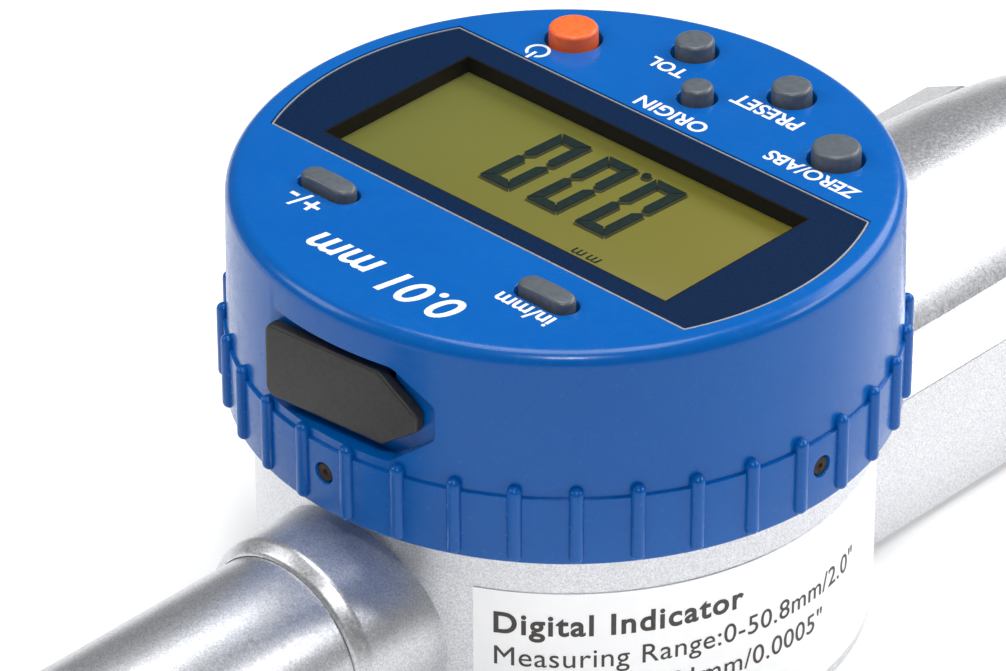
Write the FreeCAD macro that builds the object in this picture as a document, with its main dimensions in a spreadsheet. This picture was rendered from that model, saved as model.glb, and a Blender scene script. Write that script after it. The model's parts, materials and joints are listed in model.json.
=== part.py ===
import FreeCAD, Part
import os
import re
import Sketcher

# Electronic indicator, 0 to 50.8 mm travel. It lies on its back: the rear face is the plane z = 0,
# the display looks along +Z, the spindle leaves along -Y and the top tube along +Y.

doc = FreeCAD.newDocument("Indicator")
V = FreeCAD.Vector
sheet = doc.addObject("Spreadsheet::Sheet", "dims")

DIMS = {
    # case: a round drum with a neck that the display head turns on
    "drum_r": 27.6, "drum_top": 22.0, "neck_r": 26.3, "neck_top": 28.0, "neck_bore": 18.0,
    "cavity_r": 24.0, "deck_low": 19.5, "cover_thick": 1.4, "cover_r": 25.4,
    "groove_low": 25.0, "groove_high": 27.4, "groove_r": 25.0, "ring_low": 22.9, "ring_high": 24.3,
    "label_thick": 0.12, "label_low": 1.2, "label_tall": 16.6,
    # barrel and lower housing, which carry the stem
    "axis_z": 10.3, "crown_r": 14.3, "house_x": 17.5, "house_low": 1.0, "house_z": 15.0, "house_y": 70.0,
    "chamber_x": 12.5, "chamber_z": 16.0, "chamber_y": 62.0, "nose_y": 78.0,
    # stem and spindle
    "stem_r": 4.0, "stem_end": 98.0, "stem_root": 64.0, "root_r": 3.5, "bush_r": 3.0, "bush_bore": 2.43,
    "spindle_r": 2.4, "spindle_top": 10.0, "spindle_end": 150.5, "spindle_bore": 1.4,
    "tip_r": 1.5, "tip_end": 158.5,
    # top tube and return spring
    "tube_r": 9.0, "tube_bore": 8.0, "collar_r": 10.15, "collar_y": 35.3, "tube_low": 27.0,
    "tube_high": 88.0, "cap_high": 92.0, "spring_r": 3.1, "spring_wire": 0.35, "spring_turns": 20,
    # carriage with the measuring scale
    "carriage_low": 58.0, "bar_x": 4.5, "bar_low": 13.1, "bar_top": 14.0, "scale_top": 14.6, "rod_x": 7.5,
    "rod_r": 1.25, "reader_low": 15.0, "reader_thick": 1.2,
    # battery in the rear cover
    "cell_r": 10.0, "cell_low": 2.25, "cell_thick": 3.2, "cell_y": 4.0, "hatch_r": 11.5,
    # display head
    "head_top": 43.0, "head_r": 29.7, "band_r": 30.0, "band_top": 29.0, "head_low": 22.35,
    "head_bore": 26.6, "plate_low": 40.8, "rib_ring": 29.85, "rib_r": 0.75, "rib_top": 30.1,
    "rib_count": 36, "lens_r": 27.1, "lens_high": 11.7, "lens_back": 11.9, "lens_seat": 42.3, "lens_thick": 0.6,
    "opening_x": 20.15, "opening_high": 9.3, "opening_back": 8.7, "screw_z": 26.2,
    "lcd_top": 40.7, "board_low": 33.4, "board_thick": 1.2, "board_r": 26.2, "base_low": 28.4, "base_top": 30.0,
    "post_ring": 24.6, "post_r": 1.7, "round_rise": 1.3, "long_rise": 1.0, "button_gap": 0.3,
    "button_travel": 0.6, "flange_more": 0.5, "flange_thick": 0.8,
    # data port: its cover lies in a flat recess, turned a little round the head
    "plug_flat": 28.0, "plug_face": 29.3, "port_turn": 5,
}
for row, (alias, value) in enumerate(DIMS.items(), 1):
    sheet.set(f"A{row}", alias)
    sheet.set(f"B{row}", str(value))
    sheet.setAlias(f"B{row}", alias)
sheet.recompute()

WORD = re.compile(r"[a-z][a-z_0-9]*")
FACING = {
    "Z": FreeCAD.Rotation(),
    "-Z": FreeCAD.Rotation(V(1, 0, 0), 180),
    "Y": FreeCAD.Rotation(V(1, 0, 0), -90),
    "-Y": FreeCAD.Rotation(V(1, 0, 0), 90),
    "X": FreeCAD.Rotation(V(0, 1, 0), 90),
}
parts = {}


def bound(size):
    """An expression whose dimension names point at the sheet."""
    return WORD.sub(lambda w: "dims." + w.group() if w.group() in DIMS else w.group(), str(size))


def bind(obj, **sizes):
    for name, size in sizes.items():
        obj.setExpression(name, bound(size))
    return obj


def put(obj, x=0, y=0, z=0, facing="Z", turn=0):
    """Places an object; its position follows the sheet."""
    rotation = FreeCAD.Rotation(V(0, 0, 1), turn).multiply(FACING[facing])
    obj.Placement = FreeCAD.Placement(V(0, 0, 0), rotation)
    for axis, size in zip("xyz", (x, y, z)):
        obj.setExpression("Placement.Base." + axis, bound(size))
    return obj


def cylinder(name, radius, length, x=0, y=0, z=0, facing="Z", angle=360, turn=0):
    obj = doc.addObject("Part::Cylinder", name)
    bind(obj, Radius=radius, Height=length)
    obj.Angle = angle
    return put(obj, x, y, z, facing, turn)


def cone(name, radius_1, radius_2, length, x=0, y=0, z=0, facing="Z"):
    obj = doc.addObject("Part::Cone", name)
    bind(obj, Radius1=radius_1, Radius2=radius_2, Height=length)
    return put(obj, x, y, z, facing)


def block(name, x, y, z):
    """A box between pairs of limits."""
    obj = doc.addObject("Part::Box", name)
    bind(obj, Length=f"({x[1]})-({x[0]})", Width=f"({y[1]})-({y[0]})", Height=f"({z[1]})-({z[0]})")
    return put(obj, x[0], y[0], z[0])


def fuse(name, *shapes):
    obj = doc.addObject("Part::MultiFuse", name)
    obj.Shapes = list(shapes)
    return obj


def cut(name, base, *tools):
    obj = doc.addObject("Part::Cut", name)
    obj.Base = base
    obj.Tool = tools[0] if len(tools) == 1 else fuse(name + "Tools", *tools)
    return obj


def common(name, base, tool):
    obj = doc.addObject("Part::Common", name)
    obj.Base = base
    obj.Tool = tool
    return obj


def group(name, shapes):
    obj = doc.addObject("Part::Compound", name)
    obj.Links = list(shapes)
    return obj


def part(node, obj):
    """Names a finished sub-part."""
    obj.Label = node
    parts[node] = obj
    return obj


def origin_plane(body, role):
    return next(feature for feature in body.Origin.OriginFeatures if feature.Role == role)


def outline(sketch, corners):
    """A closed polygon whose corners are held at sizes from the sheet."""
    count = len(corners)
    start = [V(1, 0, 0), V(0, 1, 0), V(-1, 0, 0), V(0, -1, 0)]
    places = [start[i * 4 // count] + V(0.01 * i, 0.02 * i, 0) for i in range(count)]
    for i in range(count):
        sketch.addGeometry(Part.LineSegment(places[i], places[(i + 1) % count]), False)
    for i in range(count):
        sketch.addConstraint(Sketcher.Constraint("Coincident", i, 2, (i + 1) % count, 1))
    for i, corner in enumerate(corners):
        for kind, size, now, axis in zip(("DistanceX", "DistanceY"), corner, places[i], (-2, -1)):
            if str(size) == "0":
                sketch.addConstraint(Sketcher.Constraint("PointOnObject", i, 1, axis))
            else:
                index = sketch.addConstraint(Sketcher.Constraint(kind, -1, 1, i, 1, now or 0.5))
                sketch.setExpression(f"Constraints[{index}]", bound(size))


def drawn(name, plane, corners):
    """A body with one sketch on an origin plane."""
    body = doc.addObject("PartDesign::Body", name)
    sketch = body.newObject("Sketcher::SketchObject", name + "Sketch")
    sketch.AttachmentSupport = [(origin_plane(body, plane), "")]
    sketch.MapMode = "FlatFace"
    outline(sketch, corners)
    return body, sketch


def turned(name, plane, corners, x=0, y=0, z=0):
    """A turned piece: an outline of (radius, height) swept round the sketch's vertical axis."""
    body, sketch = drawn(name, plane, corners)
    turning = body.newObject("PartDesign::Revolution", name + "Turning")
    turning.Profile = sketch
    turning.ReferenceAxis = (sketch, ["V_Axis"])
    turning.Angle = 360
    return put(body, x, y, z)


def padded(name, plane, corners, length, x=0, y=0, z=0):
    """A plate or bar: an outline given a length along its plane's normal."""
    body, sketch = drawn(name, plane, corners)
    pad = body.newObject("PartDesign::Pad", name + "Pad")
    pad.Profile = sketch
    bind(pad, Length=length)
    return put(body, x, y, z)


def spindle_ring(node, outer, inner, low, high):
    """A ring round the spindle's axis, from y = -low to y = -high."""
    ring = cut(node, cylinder(node + "Body", outer, f"({high})-({low})", 0, f"-({low})", "axis_z", "-Y"),
               cylinder(node + "Bore", inner, f"({high})-({low})+2", 0, f"1-({low})", "axis_z", "-Y"))
    return part(node, ring)


def at_port(obj):
    """Turns a piece of the data port round the head's axis."""
    obj.Placement = FreeCAD.Placement(V(0, 0, 0), FreeCAD.Rotation(V(0, 0, 1), 1))
    return bind(obj, **{"Placement.Rotation.Angle": "port_turn"})


def around(radius, degrees):
    """The x and y of a point on a circle round the head's axis."""
    return f"{radius}*cos({degrees} deg)", f"{radius}*sin({degrees} deg)"


# --- the case -------------------------------------------------------------------------------

COVER_SCREWS = [(14.2, -60), (-14.2, -60), (14.2, -34), (-14.2, -34), (16.5, 16.5), (-16.5, 16.5)]
READER_SCREWS = [(9, -6.5), (-9, -6.5), (9, 9.5), (-9, 9.5)]
HEAD_POSTS = [34, 146, 242, 299]


def housing_corners():
    return [("-house_x", "house_low"), ("house_x", "house_low"), ("house_x", "house_z"),
            ("house_x-4.6", "house_z+2"), ("4.6-house_x", "house_z+2"), ("-house_x", "house_z")]


def cover_outline(name, grow, low, high):
    """The rear cover's outline: a disc run into a rectangle under the lower housing."""
    disc = cylinder(name + "Disc", f"cover_r+{grow}", f"({high})-({low})", 0, 0, low)
    tail = block(name + "Tail", (f"-16.2-{grow}", f"16.2+{grow}"), (f"-66-{grow}", "0"), (low, high))
    return fuse(name, disc, tail)


def body_casting():
    drum = cylinder("Drum", "drum_r", "drum_top")
    neck = cylinder("Neck", "neck_r", "neck_top-drum_top", 0, 0, "drum_top")
    house = padded("House", "XZ_Plane", housing_corners(), "house_y")
    crown = turned("Crown", "XY_Plane", [
        (0, "-band_r-1.4"), ("crown_r", "-band_r-1.4"), ("crown_r", -55), ("crown_r-0.3", -59),
        ("crown_r-0.7", -63.5), ("crown_r-1.1", -66.5), ("crown_r-1.5", -68.5), ("crown_r-3.5", -71),
        ("crown_r-6.3", -73), ("crown_r-8.3", -74.5), ("crown_r-8.8", "-nose_y"), (0, "-nose_y"),
    ], z="axis_z")
    under_head = common("UnderHead",
                        cylinder("CrownRoot", "crown_r", "band_r+1.4", 0, 0, "axis_z", "-Y"),
                        block("CrownRoom", (-20, 20), (-40, 0), ("house_low", "drum_top")))
    above_table = common("AboveTable", crown, block("TableRoom", (-20, 20), (-90, 0), ("house_low", 40)))
    collar = cylinder("Collar", "collar_r", "collar_y-20", 0, 20, "axis_z", "Y")
    solid = fuse("CastingSolid", drum, neck, house, above_table, under_head, collar)

    hollow = [
        cylinder("Cavity", "cavity_r", "deck_low-cover_thick", 0, 0, "cover_thick"),
        block("Chamber", ("-chamber_x", "chamber_x"), ("-chamber_y", 0), ("cover_thick", "chamber_z")),
        cylinder("NeckWell", "neck_bore", 10, 0, 0, "drum_top"),
        cylinder("FlexHole", 5, 10, 0, 0, "deck_low-1"),
        cylinder("StemBore", "root_r", 30, 0, "-stem_root", "axis_z", "-Y"),
        cylinder("SpindleDoor", "bush_bore+0.5", 10, 0, "4-stem_root", "axis_z", "-Y"),
        cylinder("TubeSeat", "tube_r", 20, 0, "tube_low", "axis_z", "Y"),
        cylinder("TubeDoor", "tube_bore", 10, 0, "tube_low-7", "axis_z", "Y"),
        cut("ScrewGroove", cylinder("GrooveOut", "neck_r+2", "groove_high-groove_low", 0, 0, "groove_low"),
            cylinder("GrooveIn", "groove_r", 9, 0, 0, "groove_low-3")),
        cut("RingGroove", cylinder("RingOut", "neck_r+2", "ring_high-ring_low", 0, 0, "ring_low"),
            cylinder("RingIn", "groove_r", 9, 0, 0, "ring_low-3")),
        cover_outline("CoverSeat", 0.05, "-1", "cover_thick"),
    ]
    shell = cut("CastingShell", solid, *hollow)
    inside = [block("RodPost", (5.2, 10), (13.5, 16.5), (8, "deck_low+0.5"))]
    for i, (x, y) in enumerate(COVER_SCREWS):
        if y > 0:
            inside.append(cylinder(f"CoverBoss{i}", 2.4, "deck_low-cover_thick+0.5", x, y, "cover_thick"))
    for i, (x, y) in enumerate(READER_SCREWS):
        inside.append(cylinder(f"ReaderBoss{i}", 1.8, "deck_low-reader_low-reader_thick+0.5", x, y,
                               "reader_low+reader_thick"))
    drilled = [
        cylinder("RodSeat", "rod_r", 100, "rod_x", 17, "axis_z", "-Y"),
        cylinder("StopPinHole", 1, 4, 0, 20.7, "neck_top-3"),
    ]
    for i, (x, y) in enumerate(COVER_SCREWS):
        drilled.append(cylinder(f"CoverTap{i}", 0.8, 6, x, y, "cover_thick-0.2"))
    for i, (x, y) in enumerate(READER_SCREWS):
        drilled.append(cylinder(f"ReaderTap{i}", 0.6, 2.6, x, y, "reader_low+1"))
    rod_hole_end = block("RodSeatEnd", ("rod_x-2", "rod_x+2"), (-90, -66), (5, 15))
    tools = fuse("CastingHoles", *drilled)
    part("body_casting", cut("Casting", fuse("CastingInside", shell, *inside),
                             cut("CastingDrill", tools, rod_hole_end)))


def rear_cover():
    plate = cover_outline("RearPlate", 0, "0", "cover_thick")
    holes = [cylinder("HatchHole", "hatch_r+0.1", 4, 0, "cell_y", -1)]
    for i, start in enumerate((50, 230)):
        holes.append(cylinder(f"LugGap{i}", "hatch_r+1.5", 4, 0, "cell_y", -1, "Z", 22, start))
    for i, (x, y) in enumerate(COVER_SCREWS):
        holes.append(cylinder(f"CoverHole{i}", 0.9, 4, x, y, -1))
        holes.append(cone(f"CoverSink{i}", 1.7, 0.9, 0.8, x, y, 0))
    part("rear_cover", cut("RearCover", plate, *holes))
    screws = []
    for i, (x, y) in enumerate(COVER_SCREWS):
        head = cone(f"CoverScrewHead{i}", 1.65, 0.8, 0.8, x, y, 0.05)
        shank = cylinder(f"CoverScrewShank{i}", 0.8, 6, x, y, 0.8)
        slot = block(f"CoverScrewSlot{i}", (x - 2, x + 2), (y - 0.2, y + 0.2), (-1, 0.4))
        screws.append(cut(f"CoverScrew{i}", fuse(f"CoverScrewSolid{i}", head, shank), slot))
    part("rear_cover_screws", group("CoverScrews", screws))


def case_label():
    """A thin wrapped label on the drum's -X side."""
    sheet_out = cylinder("LabelOut", "drum_r+label_thick", "label_tall", 0, 0, "label_low", "Z", 111.2, 116.8)
    part("case_label", cut("Label", sheet_out, cylinder("LabelIn", "drum_r", 20, 0, 0, 0)))


def stem_and_tube():
    part("stem", turned("Stem", "XY_Plane", [
        ("bush_r", "-stem_root"), ("root_r", "-stem_root"), ("root_r", "-nose_y"), ("stem_r", "-nose_y"),
        ("stem_r", "0.4-stem_end"), ("stem_r-0.4", "-stem_end"), ("bush_r", "-stem_end"),
    ], z="axis_z"))
    spindle_ring("upper_bush", "bush_r", "bush_bore", "stem_root", "stem_root+13")
    spindle_ring("lower_bush", "bush_r", "bush_bore", "stem_end-14", "stem_end-1.6")
    spindle_ring("stem_seal", "bush_r", "bush_bore", "stem_end-1.6", "stem_end-0.3")
    spindle_ring("stop_buffer", 5.5, "spindle_r+0.5", "chamber_y-3.6", "chamber_y")
    part("top_tube", cut("TopTube",
                         cylinder("TubeOut", "tube_r", "tube_high-tube_low", 0, "tube_low", "axis_z", "Y"),
                         cylinder("TubeIn", "tube_bore", 90, 0, "tube_low-1", "axis_z", "Y")))
    part("tube_cap", turned("TubeCap", "XY_Plane", [
        (0, "tube_high-5"), ("tube_bore", "tube_high-5"), ("tube_bore", "tube_high"),
        ("tube_r", "tube_high"), ("tube_r", "cap_high-1"), ("tube_r-1", "cap_high"), (0, "cap_high"),
    ], z="axis_z"))
    part("spring_guide", cylinder("SpringGuide", 1.1, "tube_high-9", 0, "tube_high-5", "axis_z", "-Y"))


def return_spring():
    """A compression spring between the seat on the spindle and the tube's cap."""
    low = DIMS["spindle_top"] + 1.5
    high = DIMS["tube_high"] - 5
    wire = DIMS["spring_wire"]
    length = high - low - 2 * wire - 0.1
    helix = Part.makeHelix(length / DIMS["spring_turns"], length, DIMS["spring_r"])
    section = Part.Wire(Part.makeCircle(wire, V(DIMS["spring_r"], 0, 0), V(0, 1, 0)))
    coil = Part.Wire(helix.Edges).makePipeShell([section], True, True)
    spring = doc.addObject("Part::Feature", "ReturnSpring")
    spring.Shape = coil
    spring.Placement = FreeCAD.Placement(V(0, low + wire + 0.05, DIMS["axis_z"]), FACING["Y"])
    part("return_spring", spring)


def reader():
    board = block("ReaderBoard", (-11, 11), (-9, 12), ("reader_low", "reader_low+reader_thick"))
    holes = [cylinder(f"ReaderHole{i}", 0.7, 4, x, y, "reader_low-1")
             for i, (x, y) in enumerate(READER_SCREWS)]
    part("reader_board", cut("Reader", board, *holes))
    top = "reader_low+reader_thick"
    part("reader_chips", group("ReaderChips", [
        block("ReaderChipA", (-7, -3), (3, 7), (top, f"{top}+1")),
        block("ReaderChipB", (3.5, 6.5), (2, 7), (top, f"{top}+0.8")),
    ]))
    screws = []
    for i, (x, y) in enumerate(READER_SCREWS):
        screws.append(fuse(f"ReaderScrew{i}", cylinder(f"ReaderHead{i}", 1.2, 0.8, x, y, "reader_low-0.8"),
                           cylinder(f"ReaderShank{i}", 0.6, 3.4, x, y, "reader_low-0.1")))
    part("reader_screws", group("ReaderScrews", screws))
    part("guide_rod", cylinder("GuideRod", "rod_r", 82.5, "rod_x", 16.5, "axis_z", "-Y"))
    part("turn_stop_pin", cylinder("TurnStopPin", 1, 4.2, 0, 20.7, "neck_top-3"))
    seal = cylinder("SealOut", "neck_r+0.25", "ring_high-ring_low-0.2", 0, 0, "ring_low+0.1")
    part("head_seal", cut("HeadSeal", seal, cylinder("SealIn", "groove_r", 9, 0, 0, "ring_low-3")))
    part("flex_cable", block("FlexCable", (-3.5, 3.5), (-0.15, 0.15), (top, "board_low")))


def battery():
    cell_top = "cell_low+cell_thick"
    part("battery_cell", cylinder("BatteryCell", "cell_r", "cell_thick", 0, "cell_y", "cell_low"))
    ring = cylinder("HolderOut", 12.4, "cell_thick+0.55", 0, "cell_y", "cell_low")
    room = cylinder("HolderIn", 10.4, "cell_thick+0.15", 0, "cell_y", "cell_low")
    clip_room = block("ClipRoom", (9, 10.9), ("cell_y-2.2", "cell_y+2.2"), ("cell_low-1", cell_top))
    part("battery_holder", cut("BatteryHolder", ring, room, clip_room))
    part("battery_side_contact", block("SideContact", (10.05, 10.35), ("cell_y-2", "cell_y+2"),
                                       ("cell_low+0.2", "cell_low+2.8")))
    part("battery_top_contact", block("TopContact", (-1.5, 1.5), ("cell_y-7", "cell_y+7"),
                                      (cell_top, f"{cell_top}+0.15")))
    hatch = cylinder("HatchPlate", "hatch_r", "cover_thick+0.05", 0, "cell_y", 0)
    lugs = [cylinder(f"HatchLug{i}", "hatch_r+1.2", 0.6, 0, "cell_y", "cover_thick+0.05", "Z", 16, start)
            for i, start in enumerate((-8, 172))]
    lug_ring = cut("HatchLugs", fuse("HatchSectors", *lugs),
                   cylinder("HatchRoom", "hatch_r-2", 4, 0, "cell_y", 0))
    slot = block("CoinSlot", (-6, 6), ("cell_y-0.8", "cell_y+0.8"), (-1, 0.8))
    part("battery_cover", cut("BatteryCover", fuse("HatchSolid", hatch, lug_ring), slot))


# --- what slides with the spindle -----------------------------------------------------------

def carriage():
    bored = [(0, "-spindle_end"), ("spindle_r-0.6", "-spindle_end"), ("spindle_r", "0.6-spindle_end"),
             ("spindle_r", "spindle_top"), ("spindle_bore", "spindle_top"), ("spindle_bore", -50),
             (0, -50)]
    part("spindle", turned("Spindle", "XY_Plane", bored, z="axis_z"))
    point = turned("PointBody", "XY_Plane", [
        (0, "-spindle_end"), ("spindle_r", "-spindle_end"), ("spindle_r", "-spindle_end-2.2"),
        ("spindle_r-0.5", "-spindle_end-2.7"), ("tip_r-0.1", "tip_r-tip_end+0.4"),
        (0, "tip_r-tip_end+0.4"),
    ], z="axis_z")
    ball = doc.addObject("Part::Sphere", "PointBall")
    bind(ball, Radius="tip_r")
    put(ball, 0, "tip_r-tip_end", "axis_z")
    part("contact_point", fuse("ContactPoint", point, ball))
    spindle_ring("spring_seat", 3.5, "spindle_bore", "-1.5-spindle_top", "-spindle_top")
    low, high = "-carriage_low", "8-carriage_low"
    clamp = cut("SpindleClamp",
                block("ClampBlock", ("-bar_x", 10), (low, high), (7.4, "bar_low")),
                cylinder("ClampBore", "spindle_r", 20, 0, "12-carriage_low", "axis_z", "-Y"),
                cylinder("ClampGuide", "rod_r+0.05", 20, "rod_x", "12-carriage_low", "axis_z", "-Y"),
                cylinder("ClampTap", 0.8, 10, -5, "4-carriage_low", "axis_z", "X"))
    part("spindle_clamp", clamp)
    screw = fuse("ClampScrewSolid",
                 cylinder("ClampShank", 0.8, "bar_x-spindle_r", "-bar_x", "4-carriage_low", "axis_z", "X"),
                 cylinder("ClampHead", 1.5, 1.2, "-bar_x-1.2", "4-carriage_low", "axis_z", "X"))
    part("clamp_screw", screw)
    part("scale_carrier", block("ScaleCarrier", ("-bar_x", "bar_x"), (low, "spindle_top"),
                                ("bar_low", "bar_top")))
    part("scale_strip", block("ScaleStrip", ("-bar_x", "bar_x"), (f"0.5{low}", "spindle_top-0.5"),
                              ("bar_top", "scale_top")))


# --- the display head -----------------------------------------------------------------------

ROUND_BUTTONS = {
    "power_button": (15.5, -17.45, 2.3), "tol_button": (6.05, -23.2, 1.85),
    "origin_button": (0.4, -17.3, 1.5), "preset_button": (-5.6, -23.1, 1.88),
    "zero_button": (-15.35, -17.9, 2.25),
}
LONG_BUTTONS = {"plus_minus_button": (13.05, 15.95), "unit_button": (-12.8, 15.95)}
LONG_HALF, LONG_R = 1.85, 1.1


def press_shape(name, x, y, radius, low, high, half=0):
    """A round column, or with a half length a stadium along X."""
    if not half:
        return cylinder(name, radius, f"({high})-({low})", x, y, low)
    ends = [cylinder(f"{name}End{i}", radius, f"({high})-({low})", end, y, low)
            for i, end in enumerate((x - half, x + half))]
    middle = block(name + "Mid", (x - half, x + half), (f"{y}-({radius})", f"{y}+({radius})"), (low, high))
    return fuse(name, *ends, middle)


def keys():
    for node, (x, y, radius) in ROUND_BUTTONS.items():
        yield node, x, y, radius, 0
    for node, (x, y) in LONG_BUTTONS.items():
        yield node, x, y, LONG_R, LONG_HALF


def buttons():
    switches = []
    for node, x, y, radius, half in keys():
        top = "head_top+long_rise" if half else "head_top+round_rise"
        cap = press_shape(node + "Cap", x, y, radius, "plate_low-0.05", top, half)
        flange = press_shape(node + "Flange", x, y, f"{radius}+flange_more",
                             "plate_low-0.05-flange_thick", "plate_low-0.05", half)
        foot = cylinder(node + "Foot", 1.1, 1.4, x, y, "plate_low-flange_thick-1.4")
        part(node, fuse(node + "Solid", cap, flange, foot))
        switches.append(block(f"{node}Switch", (x - 1.5, x + 1.5), (y - 1.3, y + 1.3),
                              ("board_low+board_thick", "plate_low-flange_thick-1.4-button_travel-0.1")))
    part("key_switches", group("KeySwitches", switches))


def ribbed_shell():
    """The moulded outer body of the head, with its grip ribs."""
    body, sketch = drawn("ShellBody", "XZ_Plane", [
        (0, "plate_low"), ("head_bore", "plate_low"), ("head_bore", "head_low"), ("band_r", "head_low"),
        ("band_r", "band_top"), ("head_r", "band_top"), ("head_r-0.2", "head_top-1.2"),
        ("head_r-0.6", "head_top-0.4"), ("head_r-1.4", "head_top"), (0, "head_top"),
    ])
    turning = body.newObject("PartDesign::Revolution", "ShellTurning")
    turning.Profile = sketch
    turning.ReferenceAxis = (sketch, ["V_Axis"])
    turning.Angle = 360
    rib = body.newObject("Sketcher::SketchObject", "RibSketch")
    rib.AttachmentSupport = [(origin_plane(body, "XY_Plane"), "")]
    rib.MapMode = "FlatFace"
    rib.addGeometry(Part.Circle(V(29, 2, 0), V(0, 0, 1), 1), False)
    held = (("DistanceX", "rib_ring*cos(5 deg)"), ("DistanceY", "rib_ring*sin(5 deg)"))
    for kind, size in held:
        index = rib.addConstraint(Sketcher.Constraint(kind, -1, 1, 0, 3, 2.0))
        rib.setExpression(f"Constraints[{index}]", bound(size))
    index = rib.addConstraint(Sketcher.Constraint("Radius", 0, 1.0))
    rib.setExpression(f"Constraints[{index}]", bound("rib_r"))
    bind(rib, **{"AttachmentOffset.Base.z": "head_low+0.3"})
    pad = body.newObject("PartDesign::Pad", "RibPad")
    pad.Profile = rib
    bind(pad, Length="rib_top-head_low-0.3")
    doc.recompute()
    pattern = body.newObject("PartDesign::PolarPattern", "RibRing")
    pattern.Originals = [pad]
    pattern.Axis = (origin_plane(body, "Z_Axis"), [""])
    pattern.Angle = 360
    bind(pattern, Occurrences="rib_count")
    body.Tip = pattern
    return body


def head_shell():
    shell = ribbed_shell()
    posts = []
    for i, degrees in enumerate(HEAD_POSTS):
        x, y = around("post_ring", degrees)
        top = "plate_low-board_low-board_thick+0.5"
        posts.append(cylinder(f"ShellPost{i}", "post_r", top, x, y, "board_low+board_thick"))
    lens_disc = cylinder("LensSeatDisc", "lens_r+0.05", 5, 0, 0, "lens_seat-0.1")
    lens_band = block("LensSeatBand", (-40, 40), ("-lens_back-0.05", "lens_high+0.05"),
                      ("lens_seat-0.1", 50))
    holes = [
        common("LensSeat", lens_disc, lens_band),
        block("WindowHole", ("-opening_x-0.4", "opening_x+0.4"), ("-opening_back-0.4", "opening_high+0.4"),
              ("plate_low-1", 50)),
        at_port(fuse("PortRecess",
                     padded("PlugFlat", "XZ_Plane", [
                         (14, 39.3), (14, 30.1), (-4, 30.1), (-8.4, 33.3), (-8.4, 36.6), (-4.3, 39.3),
                     ], "40-plug_flat", y=40),
                     block("PlugHole", (-4, 6.2), (20, 40), (34.8, 38.2)))),
    ]
    for node, x, y, radius, half in keys():
        holes.append(press_shape(node + "Hole", x, y, f"{radius}+button_gap", "plate_low-1", "50", half))
    for i, degrees in enumerate(HEAD_POSTS):
        x, y = around("post_ring", degrees)
        holes.append(cylinder(f"PostTap{i}", 0.8, 5, x, y, "board_low"))
    for i in range(4):
        holes.append(cylinder(f"SetScrewHole{i}", 0.9, 10, 0, 0, "screw_z", "X"))
        hole = holes[-1]
        reach = FreeCAD.Rotation(V(0, 0, 1), 90 * i)
        hole.Placement = FreeCAD.Placement(V(0, 0, 0), reach.multiply(FACING["X"]))
        x, y = around("groove_r", 90 * i)
        hole.setExpression("Placement.Base.x", bound(x))
        hole.setExpression("Placement.Base.y", bound(y))
        hole.setExpression("Placement.Base.z", bound("screw_z"))
    part("head_shell", cut("HeadShell", fuse("ShellSolid", shell, *posts), *holes))


def retaining_screws():
    screws = []
    for i in range(4):
        x, y = around("25.4", 90 * i)
        screw = cylinder(f"SetScrew{i}", 0.9, 4.4, x, y, "screw_z", "X")
        turn = FreeCAD.Rotation(V(0, 0, 1), 90 * i).multiply(FACING["X"])
        screw.Placement = FreeCAD.Placement(screw.Placement.Base, turn)
        screws.append(screw)
    part("retaining_screws", group("RetainingScrews", screws))


def window():
    disc = cylinder("LensDisc", "lens_r", "lens_thick", 0, 0, "lens_seat")
    band = block("LensBand", (-40, 40), ("-lens_back", "lens_high"), ("lens_seat", "lens_seat+lens_thick"))
    part("window_lens", common("WindowLens", disc, band))
    film = common("MaskFilm", cylinder("MaskDisc", "lens_r", 0.1, 0, 0, "lens_seat-0.1"),
                  block("MaskBand", (-40, 40), ("-lens_back", "lens_high"), ("lens_seat-0.1", "lens_seat")))
    hole = block("MaskHole", ("-opening_x", "opening_x"), ("-opening_back", "opening_high"), (30, 50))
    part("window_mask", cut("WindowMask", film, hole))
    board_top = "board_low+board_thick"
    frame = block("FrameOut", (-22.4, 22.4), (-11.2, 11.8), (board_top, "plate_low-0.05"))
    pocket = block("FramePocket", (-21.7, 21.7), (-10.7, 11.3), ("board_low", 50))
    part("lcd_frame", cut("LcdFrame", frame, pocket))
    part("lcd_panel", block("LcdPanel", (-21.6, 21.6), (-10.6, 11.2), ("lcd_top-1.6", "lcd_top")))
    part("contact_strips", group("ContactStrips", [
        block("StripLow", (-19, 19), (-10.5, -9.2), (board_top, "lcd_top-1.6")),
        block("StripHigh", (-19, 19), (9.8, 11.1), (board_top, "lcd_top-1.6")),
    ]))


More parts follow.
